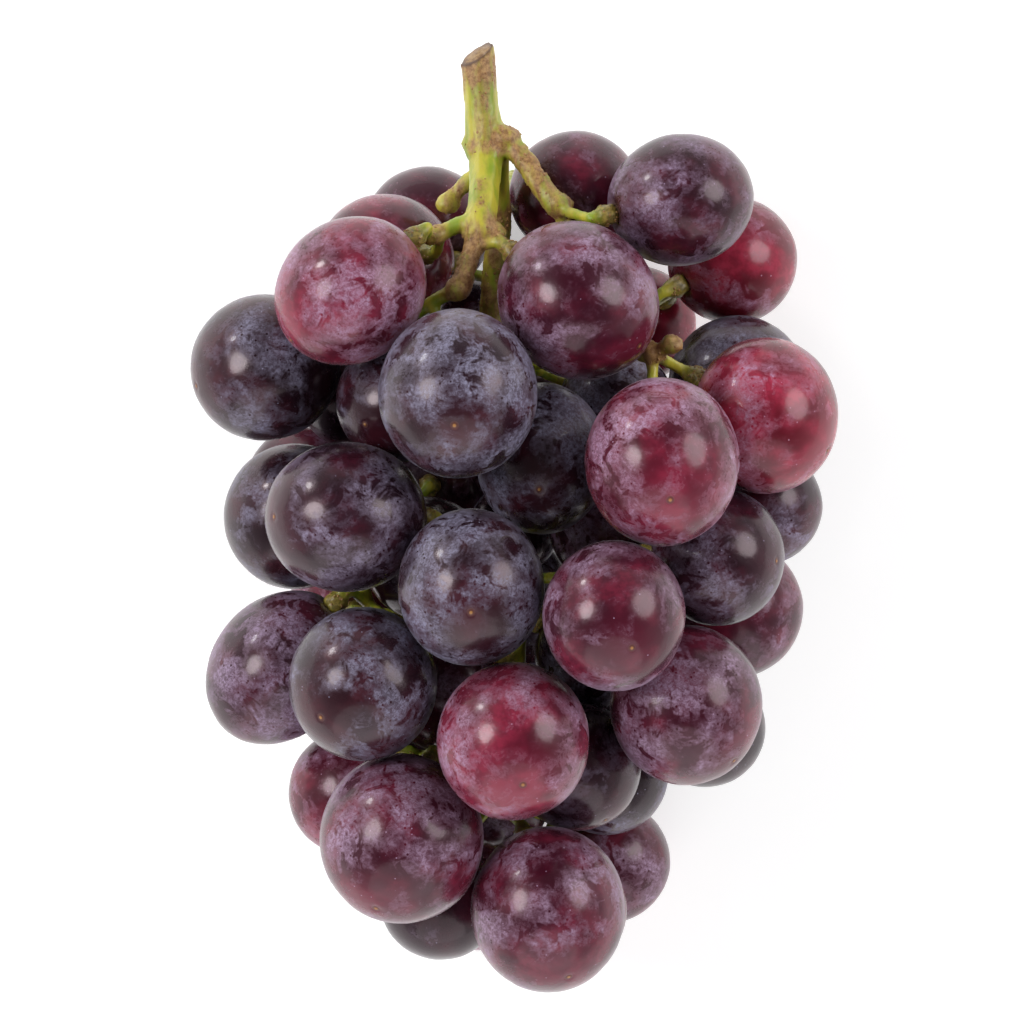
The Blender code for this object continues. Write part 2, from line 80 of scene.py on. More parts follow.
# Depths and heights on a grape are shares of its radius, and widths are in radians from its pole
DENT_DEPTH = 0.06
DENT_WIDTH = 0.34
SCAR_DISH = 0.010
SCAR_DISH_WIDTH = 0.11
SCAR_NUB = 0.014
SCAR_NUB_WIDTH = 0.030
SCAR_NUB_TOP = 0.3             # the share of the nub's width that is flat
LUMPS = (7.5, 1.0)             # the pattern of broad swellings of the skin
LUMP_HEIGHT = 0.34
RIPPLES = (2.2, 2.0)
RIPPLE_HEIGHT = 0.07

# Skin tones: the deep colour of the flesh, the brighter one where light comes through, the bloom's
# colour, and how far light spreads under the skin
SKIN_TONES = {
    "crimson": ((0.115, 0.005, 0.014), (0.340, 0.023, 0.054), (0.43, 0.25, 0.37), 0.22),
    "ruby": ((0.060, 0.004, 0.012), (0.215, 0.016, 0.040), (0.38, 0.235, 0.35), 0.18),
    "wine": ((0.035, 0.003, 0.010), (0.130, 0.012, 0.029), (0.32, 0.215, 0.32), 0.0),
    "plum": ((0.019, 0.003, 0.007), (0.076, 0.009, 0.020), (0.285, 0.205, 0.31), 0.0),
    "violet": ((0.014, 0.003, 0.007), (0.054, 0.008, 0.017), (0.23, 0.195, 0.285), 0.0),
    "ink": ((0.011, 0.003, 0.006), (0.044, 0.008, 0.014), (0.215, 0.205, 0.295), 0.0),
}
PLAIN_TONE = {"skin_red": "ruby", "skin_purple": "plum", "skin_dark": "ink"}
PLAIN_BLOOM = 0.35

# Each grape's tone, and how much of its bloom is left, from 0 to 1
GRAPE_FINISH = {
    "grape_01": ("ruby", 0.50), "grape_02": ("ink", 0.40), "grape_03": ("ruby", 0.22),
    "grape_04": ("wine", 0.15), "grape_05": ("ink", 0.66), "grape_06": ("wine", 0.50),
    "grape_07": ("wine", 0.16), "grape_08": ("plum", 0.48), "grape_09": ("crimson", 0.22),
    "grape_10": ("crimson", 0.0), "grape_11": ("ink", 0.60), "grape_12": ("crimson", 0.30),
    "grape_13": ("ruby", 0.55), "grape_14": ("ink", 0.75), "grape_15": ("ink", 0.50),
    "grape_16": ("violet", 0.30), "grape_17": ("ink", 0.60), "grape_18": ("violet", 0.42),
    "grape_19": ("ink", 0.45), "grape_20": ("plum", 0.10), "grape_21": ("ink", 0.65),
    "grape_22": ("wine", 0.45), "grape_23": ("violet", 0.42), "grape_24": ("violet", 0.25),
    "grape_25": ("wine", 0.25), "grape_26": ("wine", 0.50), "grape_27": ("ink", 0.05),
    "grape_28": ("plum", 0.58), "grape_29": ("ink", 0.55), "grape_30": ("ruby", 0.48),
    "grape_31": ("ruby", 0.32), "grape_32": ("wine", 0.50), "grape_33": ("violet", 0.40),
    "grape_34": ("ink", 0.50), "grape_35": ("wine", 0.50), "grape_36": ("wine", 0.42),
    "grape_37": ("violet", 0.0),
}

# The flesh, which takes its brighter colour (painted light coming through it) in clouds and veins at
# random, and round the scar as a painted glow
FLESH_CLOUDS = (9.0, 2.0, 0.55)
FLESH_STEP = (0.40, 0.66)
VEINS = (1.5, 2.0, 0.65)
VEIN_STEP = (0.35, 0.70, 0.55, 1.15)
PAINTED_SCAR_GLOW_STEP = (0.10, 0.85, 0.45, 0.0)

# The wax bloom: it covers the skin where its clouds rise above an edge, which lies lower the more bloom
# is left. The edge rises near the scar, where the tip is rubbed clean, and falls far from it, which
# thickens the pale bloom towards the grape's outline as a painted sheen
BLOOM_CLOUDS = (8.0, 4.0, 0.64, 0.3)
BLOOM_EDGE = 0.70
BLOOM_EDGE_DROP = 0.34
BLOOM_EDGE_RUB_AND_SHEEN_STEP = (0.1, 1.3, 0.08, -0.05)  # what the edge gains near the scar and loses far from it
BLOOM_FADE = (0.15, 0.14)      # how far the cover fades below the edge and above it
RUBS = (4.2, 3.0, 0.68, 0.5)
RUB_STEP = (0.52, 0.62, 1.0, 0.12)
WAX_GRAIN = (0.6, 3.0, 0.80, 0.6)
WAX_GRAIN_STEP = (0.34, 0.64, 0.40, 1.08)
SCAR_CLEAR_STEP = (0.03, 0.14, 0.3, 0.9)
# A thin veil of bloom takes its colour from these shares of the bright flesh and of the wax
VEIL_BRIGHT = 0.72
VEIL_WAX = 0.32

# Dark specks in the bloom and pale dots on the skin, one at most in each cell of a pattern of cells
CELLS_PER_MM = 0.75
SPECK_STEP = (0.10, 0.21, 0.12, 1.0)
SPECK_CHOICE = (0.60, 0.62)
DOT_STEP = (0.05, 0.12, 0.55, 0.0)
DOT_CHOICE = (0.70, 0.72)
DOT_BRIGHTNESS = 1.6           # beside the wax

SCAR_RING_STEP = (0.036, 0.070, 0.75, 0.0)
SCAR_RING_COLOUR = (0.09, 0.030, 0.020)
SCAR_NUB_STEP = (0.014, 0.030, 0.9, 0.0)
SCAR_NUB_COLOUR = (0.36, 0.17, 0.05)
STALK_RING_STEP = (0.12, 0.26, 0.7, 0.0)
STALK_RING_COLOUR = (0.09, 0.05, 0.025)

SKIN_ROUGHNESS = 0.23
BLOOM_ROUGHNESS = 0.29         # what full bloom adds
SCAR_ROUGHNESS = 0.3
PITS = (0.9, 1.0, 0.6)
PIT_STRENGTH = 0.4
PIT_DEPTH = 0.05
SKIN_SHADER = {
    "IOR": 1.42,
    "Specular Tint": (1.0, 0.80, 0.86, 1.0),
    "Subsurface Radius": (1.0, 0.28, 0.30),
    "Subsurface Scale": 0.0035,
    "Coat Weight": 0.16,
    "Coat Roughness": 0.10,
    "Sheen Weight": 0.08,
    "Sheen Roughness": 0.25,
    "Sheen Tint": (0.85, 0.90, 1.0, 1.0),
}

STALK_VOXEL = 0.44
STALK_SMOOTHING = 5
STALK_PLUMPING = 0.10          # gives back what the smoothing takes
# Swollen nodes of the stalk: the place and the radius of each
STALK_NODES = (
    (-1.3, 60.4, 46.8, 2.3), (-6.7, 59.4, 45.8, 1.7), (-4.4, 58.2, 46.2, 3.3),
    (7.2, 49.6, 50.3, 2.2), (-5.3, 45.8, 53.7, 2.6), (-9.1, 35.8, 57.0, 2.0),
    (-10.6, 49.9, 43.0, 1.8), (-2.8, 45.2, 54.0, 1.6), (-12.2, 44.8, 53.3, 1.7),
    (22.2, 25.9, 57.0, 2.0), (25.0, 27.2, 59.0, 1.6), (-3.4, 22.4, 37.0, 2.3),
)
NODE_FLATNESS = 0.8
NODE_SIDES = (20, 12)          # segments and rings
SEAT_RADIUS = 1.6              # the pad that joins a collar to the bottom of the grape's dent
SEAT_HEIGHT = 0.75
SEAT_SIDES = (16, 10)

FIBRES = (1.5, 4.0, 0.6)
FIBRE_DRAW = (1.0, 0.35, 1.0)  # squeezes the pattern's place, which draws the fibres out along Y
FIBRE_HEIGHT = 0.30
KNOBS = (2.6, 3.0, 0.6)        # swellings on the corky stretches
KNOB_STEP = (0.42, 0.66)
KNOB_HEIGHT = 0.55
KNOBS_BELOW_Y = 66.0           # the peduncle is smooth beyond this place
CRUST = (1.2, 2.0, 0.6)        # rough bark on the collars
CRUST_STEP = (0.35, 0.70)
CRUST_HEIGHT = 0.40
WART_LEAST = (0.12, 0.12, 0.06)
WART_MOST = (0.32, 0.32, 0.192)
WART_ROUNDNESS = 1             # how often the warts' small balls are subdivided
WARTS_PER_SQUARE_MM = 1.1
WART_SEED = 5

# A place on the knife cut of the peduncle, the way that it faces, and what a second cut takes off
CUT_AT = (-5.9, 73.9, 47.0)
CUT_NORMAL = (-0.51, 0.79, 0.33)
CUT_TRIM = 0.25
CUT_TOLERANCE = 1e-7           # in metres
CUT_SKIN = 0.05                # how far under the cut the dry face starts to fade
CUT_SKIN_FADE = 0.2
SHARP_ANGLE = math.radians(60)

# Corky stretches of the stalk: where each starts and ends, how far it spreads, how brown it is
CORKY_STRETCHES = (
    ((-6.6, 73.0, 47.5), (-5.2, 71.2, 47.5), 3.4, 1.0),
    ((-4.6, 69.4, 49.0), (-4.6, 60.4, 49.0), 1.5, 0.55),
    ((-6.2, 59.0, 47.5), (-4.8, 59.0, 48.5), 1.3, 0.9),
    ((-2.6, 59.8, 48.5), (-0.6, 61.0, 47.5), 1.9, 0.9),
    ((1.0, 57.8, 48.8), (7.0, 49.2, 50.6), 1.9, 0.85),
    ((7.0, 49.2, 50.4), (14.0, 49.4, 50.0), 2.4, 0.7),
    ((-6.2, 44.0, 54.8), (-9.0, 36.2, 57.0), 2.4, 0.95),
    ((-5.0, 52.9, 52.0), (-5.6, 46.8, 56.0), 1.3, 0.35),
    ((-3.6, 46.0, 54.5), (0.0, 43.4, 55.0), 2.0, 0.8),
    ((-12.6, 44.8, 53.4), (-15.0, 43.0, 53.6), 1.8, 0.8),
    ((-2.4, 48.4, 41.0), (-3.6, 20.4, 38.0), 3.2, 0.55),
    ((-9.2, 51.6, 43.6), (-11.2, 49.2, 43.0), 2.0, 0.6),
    ((20.6, 26.4, 56.0), (23.4, 26.0, 58.2), 2.3, 0.9),
    ((24.4, 27.0, 58.8), (26.2, 27.7, 59.8), 2.0, 0.8),
)
CORKY_FADE = 1.5               # cork ends this many spreads from the middle of its stretch
CORKY_WARTS = 0.5              # cork is this much as warty as a collar
COLLAR_LIFT = 0.8              # from the grape's skin up to the middle of its collar
COLLAR_SPREAD = 1.6
COLLAR_FADE = 1.9              # a collar ends this many spreads from its middle

# The stalk's colours, each pair blended by the pattern and the step before it
GREEN_CLOUDS = (3.0, 3.0, 0.6)
GREEN_STEP = (0.35, 0.65)
GREENS = ((0.23, 0.31, 0.015), (0.50, 0.44, 0.045))
TAN_CLOUDS = (0.7, 5.0, 0.7)
TAN_STEP = (0.35, 0.65)
TANS = ((0.21, 0.095, 0.032), (0.42, 0.24, 0.090))
COLLAR_CLOUDS = (0.8, 4.0, 0.7)
COLLAR_STEP = (0.4, 0.6)
COLLAR_BROWNS = ((0.09, 0.045, 0.016), (0.29, 0.19, 0.055))
FACE_CLOUDS = (0.9, 5.0, 0.7)
FACE_STEP = (0.35, 0.65)
FACE_TANS = ((0.17, 0.08, 0.030), (0.36, 0.22, 0.085))
STREAK_DRAW = (1.0, 0.3, 1.0)
STREAKS = (1.4, 4.0, 0.6, 0.4)
CORK_STEP = (0.50, 0.92)
CORK_SHARE = 0.46              # what full cork adds to the streaks
COLLAR_SHARE = 0.85
WART_SHARE = 0.8
WART_BROWN = (0.33, 0.16, 0.06)
CUT_RIM_STEP = (1.9, 2.8, 0.0, 0.8)
CUT_RIM_BROWN = (0.06, 0.022, 0.012)
BARK_ROUGHNESS = 0.34
CORK_ROUGHNESS = 0.2           # what full cork adds
BARK_GRAIN = (0.5, 5.0, 0.7)
BARK_GRAIN_STRENGTH = 0.6
BARK_GRAIN_DEPTH = 0.1
BARK_SHADER = {
    "Subsurface Weight": 0.1,
    "Subsurface Radius": (1.0, 0.9, 0.2),
    "Subsurface Scale": 0.001,
}

TABLE_REACH = 3.0              # half of the table's width, in metres
TABLE_DROP = 0.05              # keeps the table clear of the grapes' flats
TABLE_SHADER = {
    "Base Color": (0.93, 0.93, 0.93, 1.0),
    "Roughness": 0.8,
    "Emission Color": (1.0, 1.0, 1.0, 1.0),
    "Emission Strength": 0.34,  # a lit table keeps the shadow round the bunch pale
}

ROOM_COLOUR = (0.97, 0.985, 1.0, 1.0)
ROOM_STEP = (0.0, 0.9, 0.8, 0.12)  # the room's brightness from the table's height to overhead

# Each round soft light: the way it stands from the bunch, its distance and its width in metres, and
# how bright its face is
SOFTBOXES = (
    ("rim_light", (-0.70, 0.66, 0.30), 1.0, 0.14, 38.0),
    ("left_softbox", (-0.685, 0.15, 0.71), 1.0, 0.42, 13.0),
    ("right_softbox", (0.76, 0.28, 0.58), 1.0, 0.62, 5.8),
    ("near_reflector", (0.0, -0.93, 0.36), 1.1, 1.70, 1.15),
)


def add_node(tree, kind, given=None, **settings):
    """A node of this kind. given names its inputs, each a plain value or another node's output."""
    made = tree.nodes.new(kind)
    for name, value in settings.items():
        setattr(made, name, value)
    for name, value in (given or {}).items():
        socket = made.inputs[name]
        if isinstance(value, bpy.types.NodeSocket):
            tree.links.new(value, socket)
        else:
            socket.default_value = value
    return made


def maths(tree, operation, *values, clamp=False):
    """The result of one Math node on values or other outputs."""
    given = dict(enumerate(values))
    return add_node(tree, "ShaderNodeMath", given, operation=operation, use_clamp=clamp).outputs[0]


def vector_maths(tree, operation, given):
    """The result of one Vector Math node, which is a plain number for a length."""
    made = add_node(tree, "ShaderNodeVectorMath", given, operation=operation)
    return made.outputs["Value" if operation == "LENGTH" else "Vector"]


def fade(tree, value, start, end, low=0.0, high=1.0):
    """A smooth step: low where value is at start, high where it is at end."""
    given = {"Value": value, "From Min": start, "From Max": end, "To Min": low, "To Max": high}
    return add_node(tree, "ShaderNodeMapRange", given, interpolation_type="SMOOTHSTEP").outputs[0]


def noise(tree, place, size, detail=2.0, roughness=0.5, distortion=0.0):
    """Soft noise around NOISE_MEAN whose features lie about size apart, in the units of place."""
    given = {
        "Vector": place, "Scale": 1.0 / size, "Detail": detail,
        "Roughness": roughness, "Distortion": distortion,
    }
    return add_node(tree, "ShaderNodeTexNoise", given).outputs[0]


def blend_colours(tree, share, first, second):
    """The first colour, and the second where share is 1."""
    made = add_node(tree, "ShaderNodeMix", data_type="RGBA")
    for index, value in ((0, share), (6, first), (7, second)):
        if isinstance(value, bpy.types.NodeSocket):
            tree.links.new(value, made.inputs[index])
        else:
            made.inputs[index].default_value = (*value, 1.0)
    return made.outputs[2]


def clouded(tree, place, pattern, step, colours):
    """The first of two colours, with the second in clouds on it."""
    return blend_colours(tree, fade(tree, noise(tree, place, *pattern), *step), *colours)


def new_material(name):
    """A material, its tree, its shader, and the place on the piece in millimetres."""
    material = bpy.data.materials.new(name)
    material.use_nodes = True
    tree = material.node_tree
    place = vector_maths(tree, "SCALE", {
        0: add_node(tree, "ShaderNodeTexCoord").outputs["Object"], "Scale": PER_MM,
    })
    return material, tree, tree.nodes["Principled BSDF"], place


def finish_shader(tree, shader, colour, roughness, relief, strength, depth, values):
    """Joins the colour, the roughness and the relief to the shader, and sets its plain values."""
    tree.links.new(colour, shader.inputs["Base Color"])
    tree.links.new(roughness, shader.inputs["Roughness"])
    bump = add_node(tree, "ShaderNodeBump", {
        "Height": relief, "Strength": strength, "Distance": depth * MM,
    })
    tree.links.new(bump.outputs[0], shader.inputs["Normal"])
    set_shader(shader, values)


def set_shader(shader, values):
    """Sets plain values on the shader's sockets."""
    for name, value in values.items():
        shader.inputs[name].default_value = value


def new_form(name, inputs):
    """An empty Geometry Nodes tree with these inputs, its group input and its group output."""
    tree = bpy.data.node_groups.new(name, "GeometryNodeTree")
    tree.interface.new_socket("Geometry", in_out="INPUT", socket_type="NodeSocketGeometry")
    for label, kind in inputs:
        tree.interface.new_socket(label, in_out="INPUT", socket_type="NodeSocket" + kind)
    tree.interface.new_socket("Geometry", in_out="OUTPUT", socket_type="NodeSocketGeometry")
    return tree, tree.nodes.new("NodeGroupInput"), tree.nodes.new("NodeGroupOutput")


def end_form(tree, result, shape, material):
    """Ends a Geometry Nodes tree: smooth faces, instances made real, and the material set."""
    shape = add_node(tree, "GeometryNodeSetShadeSmooth", {0: shape}).outputs[0]
    shape = add_node(tree, "GeometryNodeRealizeInstances", {"Geometry": shape}).outputs[0]
    shape = add_node(tree, "GeometryNodeSetMaterial", {
        "Geometry": shape, "Material": material,
    }).outputs[0]
    tree.links.new(shape, result.inputs[0])


def use_form(obj, tree, values):
    """Puts the tree on the object, with its inputs set by the sockets' identifiers."""
    modifier = obj.modifiers.new(tree.name, "NODES")
    modifier.node_group = tree
    for item in tree.interface.items_tree:
        if item.in_out == "INPUT" and item.name in values:
            modifier[item.identifier] = values[item.name]


def bake(obj):
    """Turns the object's evaluated shape into a plain mesh with no modifiers."""
    graph = bpy.context.evaluated_depsgraph_get()
    mesh = bpy.data.meshes.new_from_object(
        obj.evaluated_get(graph), preserve_all_data_layers=True, depsgraph=graph
    )
    obj.modifiers.clear()
    old = obj.data
    obj.data = mesh
    bpy.data.meshes.remove(old)
    mesh.name = obj.name


def new_piece(name, mesh=None):
    """An object with this mesh or an empty one, in the scene."""
    obj = bpy.data.objects.new(name, mesh or bpy.data.meshes.new(name))
    bpy.context.scene.collection.objects.link(obj)
    return obj


def merged_copy(node):
    """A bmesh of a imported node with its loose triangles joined."""
    cage = bmesh.new()
    cage.from_mesh(frame["nodes"][node].data)
    bmesh.ops.remove_doubles(cage, verts=cage.verts, dist=MERGE_DISTANCE)
    return cage


class Ellipsoid:
    """The ellipsoid that a packed grape was made from, and the way from its stalk to its scar."""

    def __init__(self, node):
        cage = merged_copy(node)
        poles = []
        places = []
        for vert in cage.verts:
            if vert.co.z * PER_MM > GROUND_RIM:
                group = poles if len(vert.link_edges) >= POLE_EDGES else places
                group.append(np.array(vert.co) * PER_MM)
        cage.free()
        self.fit(np.array(places))
        stalk_pole = min(poles, key=self.depth)
        inward = np.linalg.solve(self.shape, stalk_pole - self.middle)
        self.tip = -inward / np.linalg.norm(inward)

    def fit(self, places):
        """Least squares for the quadric through the places."""
        centre = places.mean(axis=0)
        x, y, z = (places - centre).T
        terms = np.column_stack((x * x, y * y, z * z, 2 * x * y, 2 * x * z, 2 * y * z, x, y, z))
        a, b, c, d, e, f, *slope = np.linalg.lstsq(terms, np.ones(len(x)), rcond=None)[0]
        quadric = np.array([[a, d, e], [d, b, f], [e, f, c]])
        offset = -np.linalg.solve(quadric, slope) / 2
        quadric = quadric / (1 + offset @ quadric @ offset)
        sizes, axes = np.linalg.eigh(quadric)
        self.shape = axes @ np.diag(sizes ** -0.5) @ axes.T
        self.middle = centre + offset

    def depth(self, place):
        """1 for a place on the skin, less for one inside."""
        return np.linalg.norm(np.linalg.solve(self.shape, place - self.middle))

    def axes(self):
        """The shape's columns after a turn that brings +Z to the scar."""
        turn = UP.rotation_difference(Vector(self.tip)).to_matrix()
        return (self.shape @ np.array(turn)).T

    def stalk_end(self):
        """The place on the skin where the stalk meets it, before the dent."""
        return self.middle - self.shape @ self.tip

    def stalk_way(self):
        """The way out of the skin at the stalk's end."""
        way = -np.linalg.solve(self.shape @ self.shape, self.shape @ self.tip)
        return way / np.linalg.norm(way)


def grape_form():
    """Grows a grape: a ball with its poles at the scar and the stalk, dented, stretched and lumpy."""
    tree, given, result = new_form("grape_form", (
        ("Segments", "Int"), ("Rings", "Int"), ("Ring packing", "Float"),
        ("Middle", "Vector"), ("Across", "Vector"), ("Along", "Vector"), ("To scar", "Vector"),
        ("Dent depth", "Float"), ("Dent width", "Float"),
        ("Lump height", "Float"), ("Ripple height", "Float"),
        ("Bloom", "Float"), ("Skin", "Material"),
    ))
    sphere = add_node(tree, "GeometryNodeMeshUVSphere", {
        "Segments": given.outputs["Segments"], "Rings": given.outputs["Rings"], "Radius": 1.0,
    }).outputs["Mesh"]
    place = add_node(tree, "GeometryNodeInputPosition").outputs[0]
    split = add_node(tree, "ShaderNodeSeparateXYZ", {0: place})
    angle = maths(tree, "ARCCOSINE", split.outputs[2])
    wave = maths(tree, "SINE", maths(tree, "MULTIPLY", angle, 2.0))
    shift = maths(tree, "MULTIPLY", wave, given.outputs["Ring packing"])
    packed = maths(tree, "SUBTRACT", angle, shift)
    spread = maths(tree, "DIVIDE", maths(tree, "SINE", packed), maths(tree, "SINE", angle))
    from_stalk = maths(tree, "SUBTRACT", math.pi, packed)

    dent = fade(tree, from_stalk, 0.0, given.outputs["Dent width"], 1.0, 0.0)
    dent = maths(tree, "MULTIPLY", dent, given.outputs["Dent depth"])
    dish = fade(tree, packed, 0.0, SCAR_DISH_WIDTH, SCAR_DISH, 0.0)
    nub = fade(tree, packed, SCAR_NUB_WIDTH * SCAR_NUB_TOP, SCAR_NUB_WIDTH, SCAR_NUB, 0.0)
    radius = maths(tree, "ADD", maths(tree, "SUBTRACT", 1.0, dent), maths(tree, "SUBTRACT", nub, dish))

    grown = given.outputs["Middle"]
    for share, axis in (
        (maths(tree, "MULTIPLY", split.outputs[0], spread), "Across"),
        (maths(tree, "MULTIPLY", split.outputs[1], spread), "Along"),
        (maths(tree, "COSINE", packed), "To scar"),
    ):
        reach = maths(tree, "MULTIPLY", share, radius)
        stretch = vector_maths(tree, "SCALE", {0: given.outputs[axis], "Scale": reach})
        grown = vector_maths(tree, "ADD", {0: grown, 1: stretch})
    outward = vector_maths(tree, "NORMALIZE", {
        0: vector_maths(tree, "SUBTRACT", {0: grown, 1: given.outputs["Middle"]}),
    })
    lumps = maths(tree, "SUBTRACT", noise(tree, grown, *LUMPS), NOISE_MEAN)
    ripples = maths(tree, "SUBTRACT", noise(tree, grown, *RIPPLES), NOISE_MEAN)
    relief = maths(
        tree, "ADD",
        maths(tree, "MULTIPLY", lumps, given.outputs["Lump height"]),
        maths(tree, "MULTIPLY", ripples, given.outputs["Ripple height"]),
    )
    grown = vector_maths(tree, "ADD", {
        0: grown, 1: vector_maths(tree, "SCALE", {0: outward, "Scale": relief}),
    })
    final = vector_maths(tree, "SCALE", {0: grown, "Scale": MM})
    level = add_node(tree, "ShaderNodeSeparateXYZ", {0: final})
    final = add_node(tree, "ShaderNodeCombineXYZ", {
        0: level.outputs[0], 1: level.outputs[1], 2: maths(tree, "MAXIMUM", level.outputs[2], 0.0),
    }).outputs[0]

    shape = sphere
    for name, value in (
        ("from_scar", packed), ("from_stalk", from_stalk), ("bloom", given.outputs["Bloom"]),
    ):
        shape = add_node(tree, "GeometryNodeStoreNamedAttribute", {
            "Geometry": shape, "Name": name, "Value": value,
        }, data_type="FLOAT", domain="POINT").outputs[0]
    shape = add_node(tree, "GeometryNodeSetPosition", {"Geometry": shape, "Position": final}).outputs[0]
    end_form(tree, result, shape, given.outputs["Skin"])
    return tree


def skin_material(name, deep, bright, wax, spread):
    """Glossy grape skin: deep and bright flesh with a painted glow round the scar, rubbed wax bloom
    thickened towards the outline as painted sheen, with specks, dots and a scar.
    """
    material, tree, shader, place = new_material(name)
    from_scar = add_node(tree, "ShaderNodeAttribute", attribute_name="from_scar").outputs["Fac"]
    from_stalk = add_node(tree, "ShaderNodeAttribute", attribute_name="from_stalk").outputs["Fac"]
    bloom_left = add_node(tree, "ShaderNodeAttribute", attribute_name="bloom").outputs["Fac"]

    flesh = fade(tree, noise(tree, place, *FLESH_CLOUDS), *FLESH_STEP)
    veins = fade(tree, noise(tree, place, *VEINS), *VEIN_STEP)
    flesh = maths(tree, "MULTIPLY", flesh, veins)
    # a painted glow of light through the flesh round the scar
    flesh = maths(tree, "ADD", flesh, fade(tree, from_scar, *PAINTED_SCAR_GLOW_STEP), clamp=True)
    colour = blend_colours(tree, flesh, deep, bright)

    clouds = noise(tree, place, *BLOOM_CLOUDS)
    edge = maths(tree, "SUBTRACT", BLOOM_EDGE, maths(tree, "MULTIPLY", bloom_left, BLOOM_EDGE_DROP))
    # the edge rises near the scar for the rubbed tip, and falls far from it for a painted sheen at the
    # outline
    edge = maths(tree, "ADD", edge, fade(tree, from_scar, *BLOOM_EDGE_RUB_AND_SHEEN_STEP))
    below, above = BLOOM_FADE
    cover = fade(tree, clouds, maths(tree, "SUBTRACT", edge, below), maths(tree, "ADD", edge, above))
    rubbed = fade(tree, noise(tree, place, *RUBS), *RUB_STEP)
    grain = fade(tree, noise(tree, place, *WAX_GRAIN), *WAX_GRAIN_STEP)
    cells = add_node(tree, "ShaderNodeTexVoronoi", {
        "Vector": place, "Scale": CELLS_PER_MM,
    }, feature="F1")
    pick = add_node(tree, "ShaderNodeSeparateColor", {0: cells.outputs["Color"]}).outputs[0]
    specks = fade(tree, cells.outputs["Distance"], *SPECK_STEP)
    specks = maths(tree, "MAXIMUM", specks, fade(tree, pick, *SPECK_CHOICE))
    scar_clear = fade(tree, from_scar, *SCAR_CLEAR_STEP)
    for share in (rubbed, grain, specks, scar_clear):
        cover = maths(tree, "MULTIPLY", cover, share)
    thin_wax = [VEIL_BRIGHT * light + VEIL_WAX * grey for light, grey in zip(bright, wax)]
    colour = blend_colours(tree, cover, colour, blend_colours(tree, cover, thin_wax, wax))
    dots = fade(tree, cells.outputs["Distance"], *DOT_STEP)
    dots = maths(tree, "MULTIPLY", dots, fade(tree, pick, *DOT_CHOICE))
    colour = blend_colours(tree, dots, colour, [min(1.0, DOT_BRIGHTNESS * share) for share in wax])

    scar_ring = fade(tree, from_scar, *SCAR_RING_STEP)
    colour = blend_colours(tree, scar_ring, colour, SCAR_RING_COLOUR)
    scar_nub = fade(tree, from_scar, *SCAR_NUB_STEP)
    colour = blend_colours(tree, scar_nub, colour, SCAR_NUB_COLOUR)
    stalk_ring = fade(tree, from_stalk, *STALK_RING_STEP)
    colour = blend_colours(tree, stalk_ring, colour, STALK_RING_COLOUR)

    roughness = maths(tree, "ADD", maths(tree, "MULTIPLY", cover, BLOOM_ROUGHNESS), SKIN_ROUGHNESS)
    roughness = maths(tree, "ADD", roughness, maths(tree, "MULTIPLY", scar_ring, SCAR_ROUGHNESS))
    pits = noise(tree, place, *PITS)
    finish_shader(tree, shader, colour, roughness, pits, PIT_STRENGTH, PIT_DEPTH, SKIN_SHADER)
    shader.inputs["Subsurface Weight"].default_value = spread
    return material


def grow_grapes():
    """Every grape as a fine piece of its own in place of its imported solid. Returns their ellipsoids."""
    slots = {row["node"]: row["material_slot"] for row in frame["record"]["subparts"]}
    form = grape_form()
    skins = {tone: skin_material("skin_" + tone, *values) for tone, values in SKIN_TONES.items()}
    grown = []
    for number, node in enumerate(sorted(n for n in frame["nodes"] if n.startswith("grape_"))):
        ellipsoid = Ellipsoid(node)
        across, along, to_scar = ellipsoid.axes()
        tone, bloom = GRAPE_FINISH.get(node, (PLAIN_TONE[slots[node]], PLAIN_BLOOM))
        shown = number < FRONT_COUNT
        piece = new_piece("fine_" + node)
        use_form(piece, form, {
            "Segments": GRAPE_SEGMENTS if shown else HIDDEN_SEGMENTS,
            "Rings": GRAPE_RINGS if shown else HIDDEN_RINGS,
            "Ring packing": RING_PACKING,
            "Middle": Vector(ellipsoid.middle), "Across": Vector(across), "Along": Vector(along),
            "To scar": Vector(to_scar),
            "Dent depth": DENT_DEPTH, "Dent width": DENT_WIDTH,
            "Lump height": LUMP_HEIGHT, "Ripple height": RIPPLE_HEIGHT,
            "Bloom": bloom, "Skin": skins[tone],
        })
        bake(piece)
        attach(piece, "root")
        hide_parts(node)
        grown.append(ellipsoid)
    return grown


def add_ball(cage, sides, place, sizes):
    """Adds to the cage a ball of these radii, turned and set by place."""
    segments, rings = sides
    shape = place @ Matrix.Diagonal((*(size * MM for size in sizes), 1.0))
    bmesh.ops.create_uvsphere(cage, u_segments=segments, v_segments=rings, radius=1.0, matrix=shape)


def add_seats(cage, ellipsoids):
    """Adds to the stalk's cage a pad under each collar, down into the dent of its grape."""
    for ellipsoid in ellipsoids:
        turn = UP.rotation_difference(Vector(ellipsoid.stalk_way())).to_matrix().to_4x4()
        place = Matrix.Translation(Vector(ellipsoid.stalk_end()) * MM) @ turn
        add_ball(cage, SEAT_SIDES, place, (SEAT_RADIUS, SEAT_RADIUS, SEAT_HEIGHT))


def add_swellings(cage):
    """Adds to the stalk's cage a rounded swelling at each of its nodes."""
    for *spot, radius in STALK_NODES:
        place = Matrix.Translation(Vector(spot) * MM)
        add_ball(cage, NODE_SIDES, place, (radius, radius * NODE_FLATNESS, radius))


